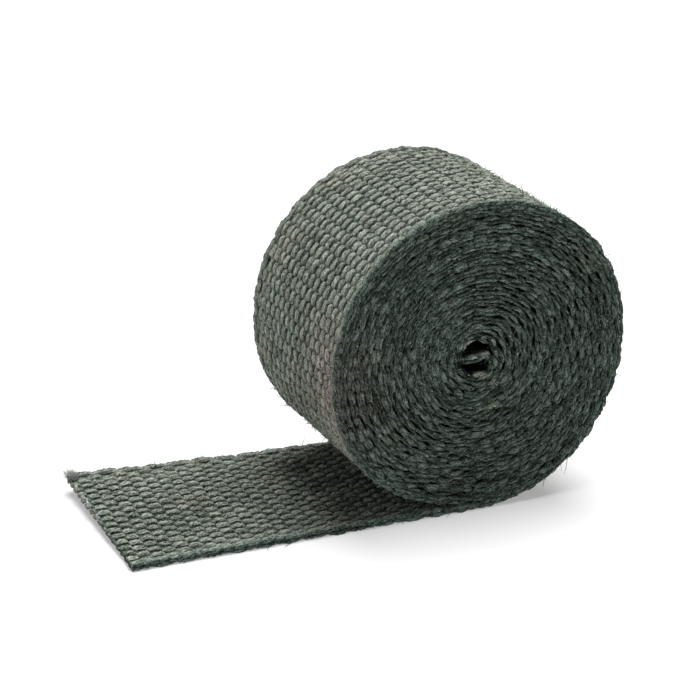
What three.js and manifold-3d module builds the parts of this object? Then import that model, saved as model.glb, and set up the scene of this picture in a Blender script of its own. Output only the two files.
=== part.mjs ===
// Exhaust heat wrap: one band of woven glass-fibre tape, wound up on itself without a core.
// The roll lies on its side with its axis along Y, and the outer end of the tape is paid
// out flat along -X. The whole thing is one piece of tape, so it is one solid.
// Units are millimetres, +Z is up, and the origin is the bottom centre of the bounding box.
import * as THREE from "three";
import { mergeVertices } from "three/addons/utils/BufferGeometryUtils.js";
import Module from "manifold-3d";

// The tape
const TAPE_WIDTH = 50;
const TAPE_THICKNESS = 2.05;
const FREE_END_LENGTH = 91; // from the line where the roll touches down to the cut end

// The winding
const TURNS = 17.75;
const BORE_RADIUS = 4.8; // the small hollow that is left where the winding began
const STEPS_PER_TURN = 36;
const WINDING_STEPS = Math.round(TURNS * STEPS_PER_TURN);

// The tape's rounded selvages, which draw the turns on the ends of the roll
const SELVAGE_DEPTH = 0.9;
const SELVAGE_HALF_WIDTH = 0.45; // across the tape's thickness, on each side of a turn

// The inner end of the tape, which crosses the bore in one wave
const START_THICKNESS = 1.9;
const START_WAVE = 0.9;
const START_TILT = THREE.MathUtils.degToRad(4);
const BORE_STEPS = 18; // along each half of the bore

const TAPE_COLOUR = 0x4a4f4b;

const OUTER_RADIUS = BORE_RADIUS + TURNS * TAPE_THICKNESS;
const FULL_TURN = 2 * Math.PI;
const CUT_MARGIN = 1; // how far a cutter stands clear of what it cuts

const wasm = await Module();
wasm.setup();

// Radius of the tape's outer surface, at an angle wound inwards from where the roll touches down.
function turnRadius(angle) {
  return OUTER_RADIUS - (TAPE_THICKNESS * angle) / FULL_TURN;
}

// A point of the winding, seen from -Y with +X to the right: it starts at the bottom and
// goes up on the right.
function windingPoint(angle) {
  const radius = turnRadius(angle);
  return new THREE.Vector2(radius * Math.sin(angle), OUTER_RADIUS - radius * Math.cos(angle));
}

// The line that divides the turns, on the plane of one end of the roll. Equal steps along
// it are equal angles, so it has the same corners as the roll's outline.
class WindingLine extends THREE.Curve {
  constructor(y) {
    super();
    this.y = y;
  }
  getPoint(share) {
    const place = windingPoint(share * TURNS * FULL_TURN);
    return new THREE.Vector3(place.x, this.y, place.y);
  }
  getPointAt(share) {
    return this.getPoint(share);
  }
  getTangentAt(share) {
    return this.getTangent(share);
  }
}

// One side of the bore, above (side 1) or below (side -1) the tape's inner end.
function boreHalf(side) {
  const half = START_THICKNESS / 2;
  const reach = Math.sqrt(BORE_RADIUS ** 2 - half ** 2);
  const lift = Math.asin(half / BORE_RADIUS);
  const wall = Array.from({ length: BORE_STEPS + 1 }, (_, i) => {
    const angle = lift + ((Math.PI - 2 * lift) * i) / BORE_STEPS;
    return new THREE.Vector2(BORE_RADIUS * Math.cos(angle), side * BORE_RADIUS * Math.sin(angle));
  });
  const band = Array.from({ length: BORE_STEPS - 1 }, (_, i) => {
    const along = (2 * (i + 1)) / BORE_STEPS - 1;
    return new THREE.Vector2(reach * along, side * half + START_WAVE * Math.sin(Math.PI * along));
  });
  const centre = new THREE.Vector2(0, OUTER_RADIUS);
  return new THREE.Path(
    [...wall, ...band].map((p) => p.rotateAround(new THREE.Vector2(), START_TILT).add(centre)),
  );
}

// The roll and its free end, as seen from -Y.
function tapeOutline() {
  const rim = Array.from({ length: STEPS_PER_TURN + 1 }, (_, i) =>
    windingPoint((i / STEPS_PER_TURN) * FULL_TURN),
  );
  const outline = new THREE.Shape([
    ...rim,
    new THREE.Vector2(-FREE_END_LENGTH, TAPE_THICKNESS),
    new THREE.Vector2(-FREE_END_LENGTH, 0),
  ]);
  outline.holes = [boreHalf(1), boreHalf(-1)];
  return outline;
}

// A V-shaped cutter along a line on one end of the roll, front (end -1) or back (end 1).
// The section's first axis runs along -Y.
function edgeCutter(line, steps, end) {
  const slope = SELVAGE_HALF_WIDTH / SELVAGE_DEPTH;
  const mouth = SELVAGE_HALF_WIDTH + slope * CUT_MARGIN;
  const section = new THREE.Shape([
    new THREE.Vector2(end * SELVAGE_DEPTH, 0),
    new THREE.Vector2(-end * CUT_MARGIN, mouth),
    new THREE.Vector2(-end * CUT_MARGIN, -mouth),
  ]);
  return new THREE.ExtrudeGeometry(section, { steps, bevelEnabled: false, extrudePath: line });
}

// What rounds the tape's edges on one end of the roll: between the turns, round the rim, and
// along the lower and upper edges of the free end.
function selvageCutters(end) {
  const y = (end * TAPE_WIDTH) / 2;
  const freeEdges = [0, TAPE_THICKNESS].map((z) => {
    const cutEnd = new THREE.Vector3(-FREE_END_LENGTH - CUT_MARGIN, y, z);
    return edgeCutter(new THREE.LineCurve3(cutEnd, new THREE.Vector3(0, y, z)), 1, end);
  });
  return [edgeCutter(new WindingLine(y), WINDING_STEPS, end), ...freeEdges];
}

// A three.js geometry as a manifold-3d solid.
function solid(geometry) {
  const bare = new THREE.BufferGeometry();
  bare.setAttribute("position", geometry.getAttribute("position"));
  if (geometry.index) bare.setIndex(geometry.index);
  const merged = mergeVertices(bare, 1e-4);
  return new wasm.Manifold(
    new wasm.Mesh({
      numProp: 3,
      vertProperties: merged.attributes.position.array,
      triVerts: new Uint32Array(merged.index.array),
    }),
  );
}

// A manifold-3d solid as a three.js geometry.
function geometryOf(made) {
  const mesh = made.getMesh();
  const geometry = new THREE.BufferGeometry();
  geometry.setAttribute("position", new THREE.BufferAttribute(mesh.vertProperties, 3));
  geometry.setIndex(new THREE.BufferAttribute(mesh.triVerts, 1));
  geometry.computeVertexNormals();
  return geometry;
}

function heatWrap() {
  const body = new THREE.ExtrudeGeometry(tapeOutline(), { depth: TAPE_WIDTH, bevelEnabled: false });
  body.rotateX(Math.PI / 2);
  body.translate(0, TAPE_WIDTH / 2, 0);
  let made = solid(body);
  for (const cutter of [...selvageCutters(-1), ...selvageCutters(1)]) {
    made = made.subtract(solid(cutter));
  }
  const geometry = geometryOf(made);
  geometry.computeBoundingBox();
  const { min, max } = geometry.boundingBox;
  geometry.translate(-(min.x + max.x) / 2, 0, 0);
  const material = new THREE.MeshStandardMaterial({
    color: TAPE_COLOUR,
    roughness: 0.95,
    metalness: 0,
  });
  const mesh = new THREE.Mesh(geometry, material);
  mesh.name = "heat_wrap";
  return mesh;
}

const part = new THREE.Group();
part.add(heatWrap());

export default part;
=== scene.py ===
import math

import bpy
import numpy as np
from mathutils import Matrix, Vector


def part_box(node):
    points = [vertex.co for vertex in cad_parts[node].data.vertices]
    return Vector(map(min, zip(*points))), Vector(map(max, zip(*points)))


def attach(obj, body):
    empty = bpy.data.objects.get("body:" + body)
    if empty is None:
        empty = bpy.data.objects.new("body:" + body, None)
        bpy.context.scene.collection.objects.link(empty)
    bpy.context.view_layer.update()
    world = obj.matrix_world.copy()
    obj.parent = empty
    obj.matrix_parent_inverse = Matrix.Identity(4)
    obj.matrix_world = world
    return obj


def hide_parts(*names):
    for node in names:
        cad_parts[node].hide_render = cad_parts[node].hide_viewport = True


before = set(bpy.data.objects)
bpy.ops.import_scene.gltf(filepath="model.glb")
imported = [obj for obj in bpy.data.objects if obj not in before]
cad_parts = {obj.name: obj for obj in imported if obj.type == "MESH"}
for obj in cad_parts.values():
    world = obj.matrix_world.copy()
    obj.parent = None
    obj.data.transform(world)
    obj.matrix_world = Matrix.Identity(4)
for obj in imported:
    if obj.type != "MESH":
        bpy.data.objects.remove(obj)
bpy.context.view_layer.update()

# The line of the tape
# The wrap is one band of woven glass-fibre tape. From its cut end it lies flat on the table, turns up
# where the roll touches down, and winds inwards, without a core, to an inner end that crosses the bore.
MM = 0.001
FULL_TURN = 2 * math.pi
wrap_low, wrap_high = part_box("heat_wrap")
tape_width = wrap_high[1] - wrap_low[1]
tape_thickness = 2.05 * MM
roll_radius = (wrap_high[2] - wrap_low[2] + tape_thickness / 2) / 2
touch_down = wrap_high[0] - (roll_radius - tape_thickness / 4)
free_end_length = touch_down - wrap_low[0]
turns_wound = 16.9
loose_reach = 9 * MM
press_depth = 4.4
press_focus = 3.2
press_place = 2.0


# How far the soft roll is out of round: its outside as it sags, the turns between, and the loose
# turns round the bore, which are pressed in on one side. The waves are in millimetres.
def out_of_round(angle, radius):
    share = radius / roll_radius
    outside = (
        0.45
        - 0.15 * np.cos(angle)
        - 0.08 * np.cos(2 * angle)
        - 0.07 * np.cos(3 * angle)
        - 0.15 * np.cos(4 * angle)
        - 0.16 * np.sin(angle)
        - 0.36 * np.sin(2 * angle)
        + 0.04 * np.sin(3 * angle)
        + 0.18 * np.sin(4 * angle)
    ) * share**2
    between = 0.22 * np.sin(5 * angle + 5 * share + 1) + 0.14 * np.sin(9 * angle - 12 * share)
    between = between * np.sin(math.pi * np.clip(share, 0, 1))
    pressed_in = press_depth * np.exp(press_focus * (np.cos(angle - press_place) - 1))
    centre = 0.25 * np.sin(3 * angle + 2) - 0.55 * np.cos(2 * angle) - pressed_in
    centre = centre * np.exp(-((radius / loose_reach) ** 2))
    return (outside + between + centre) * MM


# Points in the plane of the roll, from the angle wound from the touch-down line and the radius.
def roll_point(angle, radius):
    radius = radius + out_of_round(angle, radius)
    return np.stack([touch_down + radius * np.sin(angle), roll_radius - radius * np.cos(angle)], -1)


# The length along a path, or along each of many, up to every one of its points.
def length_along(path):
    steps = np.linalg.norm(np.diff(path, axis=-2), axis=-1)
    return np.concatenate([np.zeros((*steps.shape[:-1], 1)), np.cumsum(steps, axis=-1)], -1)


line_step = 0.4 * MM
line_overrun = 6 * MM
wound_points = 9000
flat_x = np.arange(-free_end_length - line_overrun, 0, line_step)
flat_part = np.stack([touch_down + flat_x, np.full_like(flat_x, tape_thickness / 2)], -1)
wound_angle = np.linspace(0, turns_wound * FULL_TURN, wound_points)
wound_part = roll_point(wound_angle, roll_radius - tape_thickness * (0.5 + wound_angle / FULL_TURN))

# The bend of the inner end across the bore is drawn, in millimetres from the roll's axis.
inner_bend = [
    (-2.4, -4.9), (-0.8, -5.0), (0.9, -4.9), (2.6, -4.4), (3.7, -3.5), (4.1, -2.4), (3.8, -1.2),
    (2.9, -0.2), (1.9, 0.4), (0.9, 0.5), (-0.4, 0.2), (-2.0, -0.2), (-3.8, -0.3), (-5.2, 0.0),
]
bend_overlap = 30
bend_step = 0.1 * MM
smoothing_rounds = 40
bend_from = len(wound_part) - bend_overlap
bend = np.concatenate([wound_part[bend_from:], np.array(inner_bend) * MM + [touch_down, roll_radius]])
knots = length_along(bend)
even = np.arange(0, knots[-1], bend_step)
bend = np.stack([np.interp(even, knots, bend[:, i]) for i in range(2)], -1)
for _ in range(smoothing_rounds):
    bend[1:-1] = (bend[:-2] + 2 * bend[1:-1] + bend[2:]) / 4

# Lengths along the line count from where the roll touches down, and are less than 0 on the free end.
line = np.concatenate([flat_part, wound_part[:bend_from], bend])
line_length = length_along(line)
flat_stretch = slice(len(flat_part) + 1)
line_length -= np.interp(0, line[flat_stretch, 0] - touch_down, line_length[flat_stretch])
line_along = np.gradient(line, line_length, axis=0)
line_along /= np.linalg.norm(line_along, axis=1, keepdims=True)
inner_end = line_length[-1]
second_turn = np.interp(len(flat_part) + len(wound_part) / turns_wound, np.arange(len(line)), line_length)
cut_end = -free_end_length - 1 * MM

# The far corner of the free end curls up off the table, and the turns wander a little from side to
# side. A stretch of them is sunk into the near end of the roll and stands out of the far end.
corner_lift = 2.8 * MM
lift_start = 22 * MM
wander_step = 45 * MM
outer_turn_length = 250 * MM
sunk_depth = 0.3 * MM
sunk_to = 900 * MM
sunk_fade_in = 20 * MM
sunk_fade_out = 400 * MM
rng = np.random.default_rng(11)
side_wander = rng.normal(0, 0.16, 80) * MM


# Places on the tape as laid: along it from the touch-down line inwards, across it, and above its
# middle towards the outside of the roll.
def lay(along, across, above):
    values = (line[:, 0], line[:, 1], line_along[:, 0], line_along[:, 1])
    x, z, dx, dz = (np.interp(along, line_length, value) for value in values)
    size = np.sqrt(dx**2 + dz**2)
    rise = np.clip((-along - lift_start) / (free_end_length - lift_start), 0, None) ** 1.4
    lift = corner_lift * rise * np.clip(across / tape_width + 0.5, 0, 1) ** 1.2
    sideways = np.interp((along + free_end_length) / wander_step, np.arange(len(side_wander)), side_wander)
    sunk = np.clip((along - outer_turn_length) / sunk_fade_in, 0, 1)
    sunk = sunk * np.clip((sunk_to - along) / sunk_fade_out, 0, 1)
    sideways = sideways * np.clip(along / wander_step, 0, 1) + sunk_depth * sunk
    return np.stack([x + above * dz / size, across + sideways, z - above * dx / size + lift], -1)


# The warp yarns
# Fat yarns of glass fibre run the length of the tape, 31 across its face and two on each other at each
# edge. Each floats over one crossing yarn and dives under the next, its neighbours the other way round.
# The edge yarns are made for all the turns, and the others only where the face shows.
yarn_count = 35
edge_place = 24.5 * MM
outer_gaps = (0, 0, 1.35 * MM)
first_middle_gap = 1.59 * MM
pick_spacing = 3.32 * MM
pick_unevenness = 0.13
spare_picks = 3
patch_size = 4
drift_picks = 5
float_height = 0.5 * MM
first_pick = math.floor(-free_end_length / pick_spacing) - spare_picks
last_pick = math.ceil(inner_end / pick_spacing) + spare_picks
picks = np.arange(first_pick, last_pick)
pick_place = picks * pick_spacing + rng.normal(0, pick_unevenness, len(picks)) * MM
near_yarns = -edge_place + np.cumsum(outer_gaps)
first_middle = near_yarns[-1] + first_middle_gap
middle_share = np.linspace(1, -1, yarn_count - 2 * len(outer_gaps))
middle_yarns = first_middle * (1.04 * middle_share - 0.04 * middle_share**3)
yarn_place = np.concatenate([near_yarns, middle_yarns, -near_yarns[::-1]])


# A random value for each float, half of it shared by a patch of neighbouring yarns and picks.
def float_values():
    patch_count = (yarn_count // patch_size + 1, len(picks) // patch_size + 1)
    patches = np.repeat(np.repeat(rng.normal(0, 0.8, patch_count), patch_size, 0), patch_size, 1)
    return patches[:yarn_count, : len(picks)] + rng.normal(0, 0.8, (yarn_count, len(picks)))


float_size = float_values()
float_tone = float_values()
yarn_drift = rng.normal(0, 1, (yarn_count, len(picks) // drift_picks + 2))


# The crossing yarns lie askew on the free end and square across on the roll.
def skew(along):
    return 0.055 * np.clip((30 * MM - along) / (60 * MM), 0, 1)


# Which pick a place on the tape is at, counted in picks from the first.
def pick_number(along, across):
    return np.interp(along - skew(along) * across, pick_place, np.arange(len(picks)))


# The angles of a tube's corners round its line, from the side that faces the tape's far edge.
def corner_angles(sides):
    return math.pi + np.arange(sides) * FULL_TURN / sides


# Closed tubes as one mesh. centre is tube, ring, point; up is a direction, width and height are halves.
# The section is a little squarer than an ellipse. In the map, u runs along a tube and v round it, both
# in metres, and every tube starts at a u of its own.
def tubes(name, centre, up, width, height, sides, tone, depth, roughness=0.05 * MM):
    squareness = 0.7
    start_apart = 0.37
    count, rings, _ = centre.shape
    forward = np.gradient(centre, axis=1)
    forward /= np.linalg.norm(forward, axis=2, keepdims=True)
    side = np.cross(up, forward)
    side /= np.linalg.norm(side, axis=2, keepdims=True)
    over = np.cross(forward, side)
    turn = corner_angles(sides)
    circle = (np.cos(turn), np.sin(turn))
    sideways, upwards = (np.sign(part) * np.abs(part) ** squareness for part in circle)
    points = (
        rng.normal(0, roughness, (count, rings, sides, 3))
        + centre[:, :, None]
        + (side * width[..., None])[:, :, None] * sideways[:, None]
        + (over * height[..., None])[:, :, None] * upwards[:, None]
    )
    index = np.arange(count * rings * sides).reshape(count, rings, sides)
    after = np.roll(index, -1, axis=2)
    quads = np.stack([index[:, :-1], after[:, :-1], after[:, 1:], index[:, 1:]], -1).reshape(-1, 4)
    caps = np.concatenate([index[:, 0, ::-1], index[:, -1]])
    length = length_along(centre)
    length += np.arange(count)[:, None] * start_apart
    u = np.stack([length[:, :-1], length[:, :-1], length[:, 1:], length[:, 1:]], -1)[:, :, None]
    u = np.broadcast_to(u, (count, rings - 1, sides, 4))
    girth = FULL_TURN * np.sqrt((width**2 + height**2) / 2).mean(axis=1)[:, None] + 0 * length
    lane = np.arange(sides) / sides
    v = np.stack([lane, lane + 1 / sides, lane + 1 / sides, lane], -1) * girth[:, :-1, None, None]
    cap_u = np.repeat(np.concatenate([length[:, 0], length[:, -1]]), sides)
    cap_v = np.tile(lane * 2 * MM, 2 * count)
    uv = np.concatenate([np.stack([u.ravel(), v.ravel()], -1), np.stack([cap_u, cap_v], -1)])
    corners = np.concatenate([quads.ravel(), caps.ravel()])
    starts = np.concatenate([np.arange(len(quads)) * 4, len(quads) * 4 + np.arange(len(caps)) * sides])
    mesh = bpy.data.meshes.new(name)
    mesh.vertices.add(points.size // 3)
    mesh.vertices.foreach_set("co", points.astype(np.float32).ravel())
    mesh.loops.add(len(corners))
    mesh.loops.foreach_set("vertex_index", corners.astype(np.int32))
    mesh.polygons.add(len(starts))
    mesh.polygons.foreach_set("loop_start", starts.astype(np.int32))
    mesh.polygons.foreach_set("use_smooth", np.ones(len(starts), bool))
    mesh.uv_layers.new(name="yarn").data.foreach_set("uv", uv.astype(np.float32).ravel())
    for label, values in (("tone", tone), ("depth", depth)):
        values = values if values.ndim == 3 else values[:, :, None]
        values = np.broadcast_to(values, (count, rings, sides)).astype(np.float32).ravel()
        mesh.attributes.new(label, "FLOAT", "POINT").data.foreach_set("value", values)
    mesh.update(calc_edges=True)
    mesh.validate()
    piece = bpy.data.objects.new(name, mesh)
    bpy.context.scene.collection.objects.link(piece)
    return piece


# The direction towards the outside of the roll, at places on the tape.
def outward(along, across):
    rise = lay(along, across, np.full_like(along, 0.5 * MM)) - lay(along, across, np.zeros_like(along))
    return rise / np.linalg.norm(rise, axis=-1, keepdims=True)


# How a yarn swings over and under the picks: -1 to 1, with the floats flatter than a sine's crests.
def swing_at(number, yarn):
    wave = np.cos(math.pi * (number + yarn))
    return wave * np.sqrt(1.3 / (wave**2 + 0.3))


# How far out of the weave each corner of a tube lies, from near 0 in its middle to near 1 on the floats.
def corner_depth(above, height, sides):
    corner = np.sin(corner_angles(sides))
    # The yarn finish paints shade where this is low.
    return 1.25 * np.abs(above[..., None] + 0.25 * height[..., None] * corner) / MM + 0.14


# The chosen warp yarns from one place on the tape to another, as one mesh. Near the edges of the tape
# the floats are low and faint, and the tape's inner face is a little darker than its outer one. lit is
# how much light gets to them, from 0 to 1.
def warp_yarns(name, yarns, start, end, lit=1.0):
    sides = 8
    rings_per_pick = 7
    border = 5 * MM
    drift_start = 8
    rings = round((end - start) / pick_spacing * rings_per_pick)
    at = np.asarray(yarns)[:, None]
    along = np.broadcast_to(np.linspace(start, end, rings), (len(yarns), rings))
    drift_at = along[0] / (drift_picks * pick_spacing) + drift_start
    drift = np.stack([np.interp(drift_at, np.arange(yarn_drift.shape[1]), yarn_drift[y]) for y in yarns])
    across = yarn_place[at] + 0.1 * MM * drift
    number = pick_number(along, across)
    nearest = np.clip(np.round(number).astype(int), 0, len(picks) - 1)
    swing = swing_at(number, at)
    bow = np.abs(swing)
    size = float_size[at, nearest] * bow
    inside = np.clip((edge_place - np.abs(across)) / border, 0, 1)
    lumps = rng.normal(0, 0.05, along.shape)
    above = float_height * (0.25 + 0.75 * inside) * (1 + 0.12 * size) * swing
    width = (0.78 + (0.08 + 0.18 * inside) * bow + 0.08 * size + lumps) * MM
    height = (0.46 + 0.32 * (1 - inside) + lumps) * MM
    tone = float_tone[at, nearest] * bow + 1.5 * swing
    # depth paints shade into the yarn: dark where the floats dive, lighter near the tape's edges, and lit
    # darkens it further.
    depth = (corner_depth(above, height, sides) + 0.3 * (1 - inside[..., None])) * lit
    return tubes(name, lay(along, across, above), outward(along, across), width, height, sides, tone, depth)


# The two yarns that lie on each other along one edge, side -1 near and 1 far. The edge bows out
# between the places where the crossing yarn turns round it, at every second pick. Packed between
# other turns the yarns are thinner and swing more, and in the bore they open out.
def edge_yarns(name, side):
    sides = 7
    rings_per_pick = 6
    coarse_step = 3
    roughness = 0.07 * MM
    rings = round((inner_end - cut_end) / pick_spacing * rings_per_pick)
    first = 0 if side < 0 else yarn_count - 2
    at = np.array([[first], [first + 1]])
    along = np.broadcast_to(np.linspace(cut_end, inner_end, rings), (2, rings))
    number = pick_number(along, side * edge_place + 0 * along)
    nearest = np.clip(np.round(number).astype(int), 0, len(picks) - 1)
    swing = swing_at(number, at)
    bow = np.abs(swing)
    size = float_size[at, nearest] * bow
    lobes = np.abs(np.cos(math.pi * number / 2)) ** 0.6
    coarse = along[0][::coarse_step]
    wavy = [np.interp(along[0], coarse, rng.normal(0, 1, len(coarse))) for _ in range(6)]
    wavy_reach, wavy_rise, wavy_size = np.array(wavy).reshape(3, 2, rings)
    opened = np.clip((along - inner_end) / (25 * MM) + 2.2, 0, 1)
    packed = np.clip((along - second_turn) / (20 * MM), 0, 1) * (1 - opened)
    loose = 0.3 + 0.7 * packed
    stand_out = 0.9 if side > 0 else 0.25
    reach = stand_out * lobes + loose * (0.24 * swing + 0.2 * size)
    reach = reach + (0.12 * loose + 0.25 * opened) * wavy_reach
    across = side * (edge_place + (reach - 0.25) * MM)
    lumps = rng.normal(0, 0.05, along.shape)
    above = np.array([[0.47], [-0.47]]) + loose * (0.18 * swing + 0.06 * size)
    above = (above + (0.09 + 0.09 * opened) * wavy_rise) * MM
    width = (0.9 - 0.18 * packed + 0.1 * bow + 0.28 * stand_out * lobes + lumps) * MM
    height = 0.48 - 0.07 * packed + (0.04 + 0.09 * packed) * bow + 0.07 * size
    height = height + 0.08 * opened * wavy_size + lumps
    height = (height + 0.2 * stand_out * (1 - packed) * lobes) * MM
    tone = float_tone[at, nearest] * bow
    outer_side = np.clip(-side * np.cos(corner_angles(sides)), 0, 1)
    # depth paints shade here: the roll's end darker overall, darker at the dips and on corners facing out
    # of the end, with lighter and darker stretches that in the bore are painted highlights.
    depth = 0.62 - 0.12 * (1 - bow) + (0.06 * packed + 0.3 * opened) * wavy_size
    depth = depth[..., None] - 0.25 * outer_side
    up = outward(along, across)
    return tubes(name, lay(along, across, above), up, width, height, sides, tone, depth, roughness)


# Shader maths as plain expressions: a wrapped socket, with the operators that the materials use.
class Wire:
    def __init__(self, tree, socket=None):
        self.tree = tree
        self.socket = socket

    def node(self, kind, settings=None, inputs=None, output=0):
        made = self.tree.nodes.new(kind)
        for key, value in (settings or {}).items():
            setattr(made, key, value)
        for key, value in (inputs or {}).items():
            if isinstance(value, Wire):
                self.tree.links.new(value.socket, made.inputs[key])
            else:
                made.inputs[key].default_value = value
        return Wire(self.tree, made.outputs[output])

    def other_output(self, output):
        return Wire(self.tree, self.socket.node.outputs[output])

    def maths(self, operation, *values):
        return self.node("ShaderNodeMath", {"operation": operation}, dict(enumerate(values)))

    def __add__(self, other):
        return self.maths("ADD", self, other)

    def __radd__(self, other):
        return self.maths("ADD", other, self)

    def __sub__(self, other):
        return self.maths("SUBTRACT", self, other)

    def __rsub__(self, other):
        return self.maths("SUBTRACT", other, self)

    def __mul__(self, other):
        return self.maths("MULTIPLY", self, other)

    def __rmul__(self, other):
        return self.maths("MULTIPLY", other, self)

    def within(self, low, high):
        settings = {"interpolation_type": "SMOOTHSTEP"}
        return self.node("ShaderNodeMapRange", settings, {0: self, 1: low, 2: high})

    def noise(self, scale, detail):
        return self.node("ShaderNodeTexNoise", inputs={"Vector": self, "Scale": scale, "Detail": detail})

    def mix(self, share, first, second, blend="MIX"):
        settings = {"data_type": "RGBA", "blend_type": blend}
        return self.node("ShaderNodeMix", settings, {0: share, 6: first, 7: second}, 2)


# The darker colour serves the yarn's dark streaks and its painted shade; the cool tint is painted shade
# too.
dark_and_shaded_yarn = (0.010, 0.020, 0.011, 1)
light_yarn = (0.45, 0.492, 0.415, 1)
painted_shade_tint = (0.82, 0.97, 1.0, 1)
brown_tint = (1.05, 0.93, 0.86, 1)
stain_tint = (1.12, 0.92, 0.94, 1)
# The pale glass colour serves real bare fibres and painted glints.
glint_and_uncoloured_glass = (0.84, 0.86, 0.82, 1)
stain_middle = (touch_down - 0.9 * roll_radius, wrap_low[1], roll_radius * 0.92)


# Dyed glass-fibre yarn: matt and streaked along its fibres, with painted shade, darker and cooler, where
# its depth is low, down between the floats; with browner stretches, a faint reddish stain on the near rim
# of the roll and pale specks, partly bare glass fibres and partly painted glints. pale is how much of the
# yarn is bare.
def yarn_finish(name, pale=0.0):
    material = bpy.data.materials.new(name)
    material.use_nodes = True
    tree = material.node_tree
    wire = Wire(tree)
    place = wire.node("ShaderNodeTexCoord", output="Object")
    tone = wire.node("ShaderNodeAttribute", {"attribute_name": "tone"}, output="Fac")
    depth = wire.node("ShaderNodeAttribute", {"attribute_name": "depth"}, output="Fac")
    uv = wire.node("ShaderNodeUVMap", {"uv_map": "yarn"})
    length = wire.node("ShaderNodeSeparateXYZ", inputs={0: uv})
    twisted = length.other_output(1) * 2600 + length * 600
    drawn_out = wire.node("ShaderNodeCombineXYZ", inputs={0: length * 500, 1: twisted, 2: tone})
    streaks = drawn_out.noise(1.0, 1.5).within(0.33, 0.67)
    grain = place.noise(2300.0, 1.5).within(0.3, 0.7)
    browner = place.noise(60.0, 3.0).within(0.5, 0.72) * 0.6
    # Painted glints: pale noise specks over the yarn; pale adds real bare glass.
    glints_and_uncoloured = place.noise(1500.0, 2.0).within(0.67, 0.74) * 0.55 + pale
    fuzz = (streaks - 0.5) * 0.6 + (grain - 0.5) * 0.6
    # shade is the real streaks, grain and tone, plus painted shade where depth is low.
    shade = fuzz * (0.3 + depth * 0.7) + tone * 0.04 + depth.within(0.05, 0.82) * 0.55 + 0.02
    to_stain = {0: place, 1: stain_middle}
    from_stain = wire.node("ShaderNodeVectorMath", {"operation": "DISTANCE"}, to_stain, "Value")
    colour = wire.mix(shade, dark_and_shaded_yarn, light_yarn)
    # Painted shade: the low places turn cooler as well as darker.
    colour = wire.mix(1 - depth.within(0.45, 0.64), colour, painted_shade_tint, "MULTIPLY")
    colour = wire.mix(browner, colour, brown_tint, "MULTIPLY")
    colour = wire.mix(1 - from_stain.within(2 * MM, 26 * MM), colour, stain_tint, "MULTIPLY")
    colour = wire.mix(glints_and_uncoloured, colour, glint_and_uncoloured_glass)
    relief = {"Height": streaks + grain * 0.6, "Strength": 1.0, "Distance": 0.3 * MM}
    shader = tree.nodes["Principled BSDF"]
    tree.links.new(colour.socket, shader.inputs["Base Color"])
    tree.links.new(wire.node("ShaderNodeBump", inputs=relief).socket, shader.inputs["Normal"])
    shader.inputs["Roughness"].default_value = 0.72
    shader.inputs["Specular IOR Level"].default_value = 0.12
    return material


# Every piece is part of the one tape, so each takes the place of the same plain solid.
def finish_piece(piece, *materials):
    for material in materials:
        piece.data.materials.append(material)
    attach(piece, "root")
    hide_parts("heat_wrap")


outer_turn_middle = second_turn / 2
free_end_overlap = 4 * MM
outer_turn_overlap = 3 * MM
inner_end_reach = 22 * MM
inner_end_light = 0.25
inner_end_start = inner_end - inner_end_reach
face_yarns = range(2, yarn_count - 2)
yarn_material = yarn_finish("glass_fibre_yarn")
woven_pieces = [
    warp_yarns("free_end_yarns", face_yarns, cut_end, free_end_overlap),
    warp_yarns("rising_yarns", face_yarns, free_end_overlap, outer_turn_middle),
    warp_yarns("falling_yarns", face_yarns, outer_turn_middle, second_turn + outer_turn_overlap),
    warp_yarns("inner_end_yarns", face_yarns, inner_end_start, inner_end, inner_end_light),
    edge_yarns("near_edge_yarns", -1),
    edge_yarns("far_edge_yarns", 1),
]
for piece in woven_pieces:
    finish_piece(piece, yarn_material)


# The crossing yarns
# One yarn runs to and fro across the tape between the floats. It lies hidden, flat and wide, and shows only
# as the ground between them, painted dark and cool as shade.
def crossing_yarns(name, start, end):
    half_width = 1.65 * MM
    half_height = 0.32 * MM
    swing = 0.12 * MM
    # A low depth paints the yarn in shade.
    depth = 0.2
    sides = 8
    chosen = np.arange(len(picks))[(pick_place > start) & (pick_place < end)]
    across = np.broadcast_to(yarn_place[1:-1], (len(chosen), yarn_count - 2))
    along = pick_place[chosen][:, None] + skew(pick_place[chosen])[:, None] * across
    above = -swing * np.cos(math.pi * (chosen[:, None] + np.arange(1, yarn_count - 1)))
    width = np.full(along.shape, half_width)
    height = np.full(along.shape, half_height)
    place = lay(along, across, above)
    return tubes(name, place, outward(along, across), width, height, sides, 0 * along, 0 * along + depth)


finish_piece(crossing_yarns("crossing_yarns", cut_end, second_turn), yarn_material)
finish_piece(crossing_yarns("inner_end_crossing_yarns", inner_end_start, inner_end), yarn_material)


# Loose fibres
# Broken glass fibres stand out of the yarns everywhere, most of all along the edges and where the tape
# was cut, where bare fibres show pale and the far corner has a tuft.
longest_reach = 3 * MM
stray_length = 2.4
stray_light = 0.25
fibre_points = 4
fibre_rng = np.random.default_rng(5)


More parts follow.
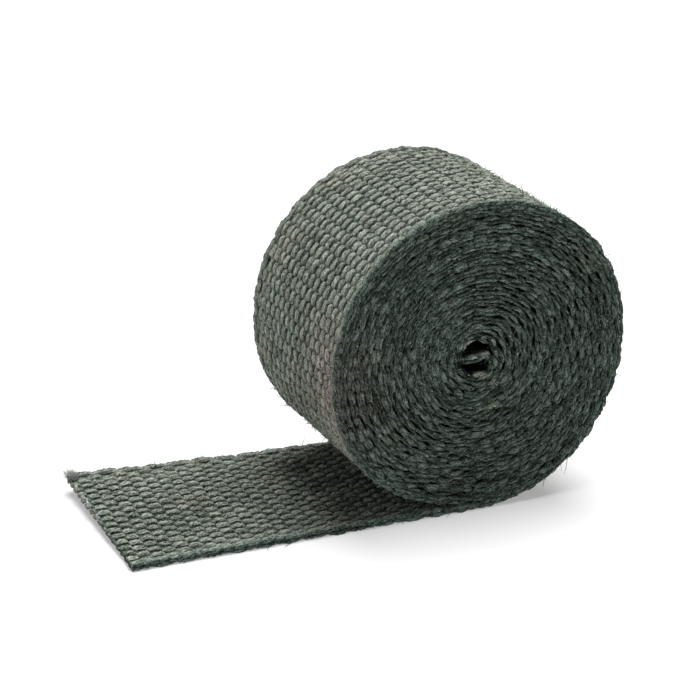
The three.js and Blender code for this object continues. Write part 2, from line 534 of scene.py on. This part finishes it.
# Loose fibres as one mesh. Each starts at a place along, across and above, and goes as far as reach
# says in those three directions, and by rise more in the third. The strays are longer and darker.
def fibres(name, along, across, above, reach, rise, thickness, depth, seed, stray_share=0.14):
    sides = 3
    draw = np.random.default_rng(seed)
    count = len(along)
    share = np.linspace(0, 1, fibre_points)
    stray = draw.random((count, 1)) < stray_share
    reach = np.clip(reach * np.where(stray, stray_length, 1), -longest_reach, longest_reach)
    bend = draw.normal(0, 0.35, (count, 3, 1)) * reach[:, :, None].max(axis=1, keepdims=True) * share**2
    path = np.stack([along, across, above], -1)[:, :, None] + reach[:, :, None] * share + bend
    path[:, 2] += rise[:, None] * share * np.where(stray, 2, 1)
    wide = thickness * (1.1 - 0.8 * share)[None] * draw.uniform(0.6, 1.3, (count, 1))
    tone = np.broadcast_to(draw.normal(0, 1.5, (count, 1)), (count, fibre_points))
    place = lay(path[:, 0], path[:, 1], path[:, 2])
    place[..., 2] = np.maximum(place[..., 2], thickness)
    depth = np.broadcast_to(np.where(stray, stray_light * depth, depth), (count, fibre_points))
    up = np.broadcast_to(draw.normal(0, 1, (count, 1, 3)), place.shape)
    return tubes(name, place, up, wide, wide, sides, tone, depth, 0)


face_count = 2600
face_along = fibre_rng.uniform(-free_end_length, outer_turn_length, face_count)
face_side = np.where(face_along > 0, 1, -1)
face_fibres = fibres(
    "face_fibres",
    face_along,
    fibre_rng.uniform(-0.49, 0.49, face_count) * tape_width,
    face_side * 0.85 * MM,
    fibre_rng.normal(0, 1, (face_count, 3)) * [1.0 * MM, 0.6 * MM, 0],
    face_side * fibre_rng.uniform(0.1, 1.1, face_count) * MM,
    thickness=0.1 * MM,
    depth=0.8,
    seed=6,
)

edge_count = 2400
outer_count = edge_count // 3
outer_along = fibre_rng.uniform(-free_end_length, outer_turn_length, outer_count)
inner_along = fibre_rng.uniform(outer_turn_length, inner_end, edge_count - outer_count)
edge_side = np.where(fibre_rng.random(edge_count) < 0.5, 1, -1)
edge_above = fibre_rng.uniform(-0.8, 0.8, edge_count) * MM
edge_reach = [
    fibre_rng.normal(0, 1.1, edge_count),
    edge_side * fibre_rng.uniform(0.3, 1.3, edge_count),
    fibre_rng.normal(0, 0.9, edge_count),
]
edge_fibres = fibres(
    "edge_fibres",
    np.concatenate([outer_along, inner_along]),
    edge_side * (tape_width / 2 - 0.5 * MM),
    edge_above,
    np.stack(edge_reach, -1) * MM,
    np.zeros(edge_count),
    thickness=0.11 * MM,
    depth=0.4,
    seed=7,
)

# The bare fibres at the cut stand in clumps, at these places across the tape in millimetres.
clump_places = [17, 11.5, 8, 7.5, 1]
cut_count = 420
cut_across = (fibre_rng.choice(clump_places, cut_count) + fibre_rng.normal(0, 0.35, cut_count)) * MM
cut_above = fibre_rng.uniform(-1.25, -0.4, cut_count) * MM
cut_reach = [
    -fibre_rng.uniform(0.1, 0.7, cut_count),
    fibre_rng.normal(0, 0.35, cut_count),
    -fibre_rng.uniform(-0.1, 0.6, cut_count),
]
cut_fibres = fibres(
    "cut_fibres",
    np.full(cut_count, cut_end + 0.3 * MM),
    cut_across,
    cut_above,
    np.stack(cut_reach, -1) * MM,
    np.zeros(cut_count),
    thickness=0.15 * MM,
    depth=1.0,
    seed=8,
    stray_share=0,
)

tuft_count = 560
tuft_spread = 2.2
tuft_along = cut_end + fibre_rng.uniform(0, tuft_spread, tuft_count) * MM
tuft_across = tape_width / 2 - fibre_rng.uniform(0, tuft_spread, tuft_count) * MM
tuft_above = -fibre_rng.uniform(0, 0.9, tuft_count) * MM
tuft_reach = [
    fibre_rng.normal(-0.2, 0.8, tuft_count),
    fibre_rng.normal(0.2, 0.8, tuft_count),
    -fibre_rng.uniform(0.2, 2.1, tuft_count),
]
corner_tuft = fibres(
    "corner_tuft",
    tuft_along,
    tuft_across,
    tuft_above,
    np.stack(tuft_reach, -1) * MM,
    np.zeros(tuft_count),
    thickness=0.05 * MM,
    depth=1.0,
    seed=9,
    stray_share=0,
)

fibre_material = yarn_finish("loose_glass_fibre", pale=0.1)
finish_piece(face_fibres, fibre_material)
finish_piece(edge_fibres, fibre_material)
finish_piece(cut_fibres, yarn_finish("bare_glass_fibre", pale=0.9))
finish_piece(corner_tuft, yarn_finish("teased_glass_fibre", pale=0.6))

# The turns between the edges
# Behind the woven edges the inner turns lie flat on each other, so they are one wound body with the bore
# through it, a little narrower than the tape, its colour painted dark as shade and its bore wall darker
# still.
core_inset = 2.6 * MM
rim_clearance = 1.12
wall_clearance = 0.45
core_points_round = 180
core_angle = np.linspace(0, FULL_TURN, core_points_round + 1)
rim_radius = roll_radius - tape_thickness * (rim_clearance + core_angle / FULL_TURN)
core_rim = roll_point(core_angle, rim_radius)
bore_angle = core_angle + (math.floor(turns_wound) - 1) * FULL_TURN
wall_radius = roll_radius - tape_thickness * (0.5 + bore_angle / FULL_TURN)
wall_radius = wall_radius - wall_clearance * tape_thickness
bore_wall = roll_point(bore_angle, wall_radius)
outline = np.concatenate([core_rim[:-1], bore_wall[:-1]])
core_y = wrap_high[1] - core_inset
core_points = np.concatenate([np.insert(outline, 1, y, axis=1) for y in (-core_y, core_y)])
near_rim = np.arange(core_points_round)
near_bore, far_rim, far_bore = (near_rim + core_points_round * i for i in (1, 2, 3))
after = np.roll(near_rim, -1)


# The faces between two of the body's four rings of points.
def band(first, second):
    return np.stack([first, first[after], second[after], second], -1)


core_faces = [
    band(near_rim, far_rim),
    band(far_bore, near_bore),
    band(near_bore, near_rim),
    band(far_rim, far_bore),
]
core_mesh = bpy.data.meshes.new("packed_turns")
core_mesh.from_pydata(core_points.tolist(), [], np.concatenate(core_faces).tolist())
for face in core_mesh.polygons[core_points_round : 2 * core_points_round]:
    face.material_index = 1
core_mesh.validate()
packed_turns = bpy.data.objects.new("packed_turns", core_mesh)
bpy.context.scene.collection.objects.link(packed_turns)


# Yarn deep in shade, mottled between two dark colours.
def shaded_finish(name, dark, light):
    material = bpy.data.materials.new(name)
    material.use_nodes = True
    tree = material.node_tree
    wire = Wire(tree)
    mottle = wire.node("ShaderNodeTexCoord", output="Object").noise(900.0, 3.0)
    shader = tree.nodes["Principled BSDF"]
    tree.links.new(wire.mix(mottle, dark, light).socket, shader.inputs["Base Color"])
    shader.inputs["Roughness"].default_value = 0.95
    return material


turns_material = shaded_finish("shaded_turns", (0.012, 0.018, 0.014, 1), (0.05, 0.06, 0.05, 1))
# The bore wall is painted darker still, as deep shade.
bore_shade_material = shaded_finish("bore_wall", (0.003, 0.005, 0.003, 1), (0.012, 0.016, 0.013, 1))
finish_piece(packed_turns, turns_material, bore_shade_material)

# The studio
# A plain pale floor that glows a little, under a broad soft light from overhead and a little behind,
# with a weaker one low on the left and weak even light all round. The camera stands where the
# photograph was taken from.
bpy.ops.object.select_all(action="DESELECT")
bpy.ops.mesh.primitive_plane_add(size=60, location=(0, 0, 0))
floor = bpy.context.active_object
floor.name = "floor"
floor_material = bpy.data.materials.new("pale_floor")
floor_material.use_nodes = True
floor_shader = floor_material.node_tree.nodes["Principled BSDF"]
floor_shader.inputs["Base Color"].default_value = (0.64, 0.64, 0.64, 1)
floor_shader.inputs["Emission Color"].default_value = (1, 1, 1, 1)
floor_shader.inputs["Emission Strength"].default_value = 0.31
floor_shader.inputs["Roughness"].default_value = 0.9
floor.data.materials.append(floor_material)

world = bpy.context.scene.world or bpy.data.worlds.new("studio")
bpy.context.scene.world = world
world.use_nodes = True
world.node_tree.nodes["Background"].inputs["Color"].default_value = (1, 1, 1, 1)
world.node_tree.nodes["Background"].inputs["Strength"].default_value = 0.16


# A broad soft light, with its spread and its turns about X and Y in degrees.
def softbox(name, strength, spread, turn_x, turn_y):
    light = bpy.data.lights.new(name, "SUN")
    light.energy = strength
    light.angle = math.radians(spread)
    lamp = bpy.data.objects.new(name, light)
    lamp.rotation_euler = (math.radians(turn_x), math.radians(turn_y), 0)
    bpy.context.scene.collection.objects.link(lamp)


softbox("overhead_softbox", 4.6, 50, -12, 12)
softbox("side_softbox", 0.7, 70, -15, -72)

camera_place = (touch_down - 0.2617, -0.5219, 0.2572)
camera_yaw = math.radians(24.48)
camera_dip = math.radians(20.92)
camera_tilt = math.radians(0.71)
photo_pixels = 700
focal_pixels = 2423
camera = bpy.data.cameras.new("camera")
camera.sensor_width = 36
camera.lens = focal_pixels / photo_pixels * camera.sensor_width
camera.clip_start = 0.05
camera_object = bpy.data.objects.new("camera", camera)
camera_object.matrix_world = (
    Matrix.Translation(camera_place)
    @ Matrix.Rotation(-camera_yaw, 4, "Z")
    @ Matrix.Rotation(math.pi / 2 - camera_dip, 4, "X")
    @ Matrix.Rotation(camera_tilt, 4, "Z")
)
bpy.context.scene.collection.objects.link(camera_object)
bpy.context.scene.camera = camera_object
bpy.context.scene.view_settings.view_transform = "Standard"
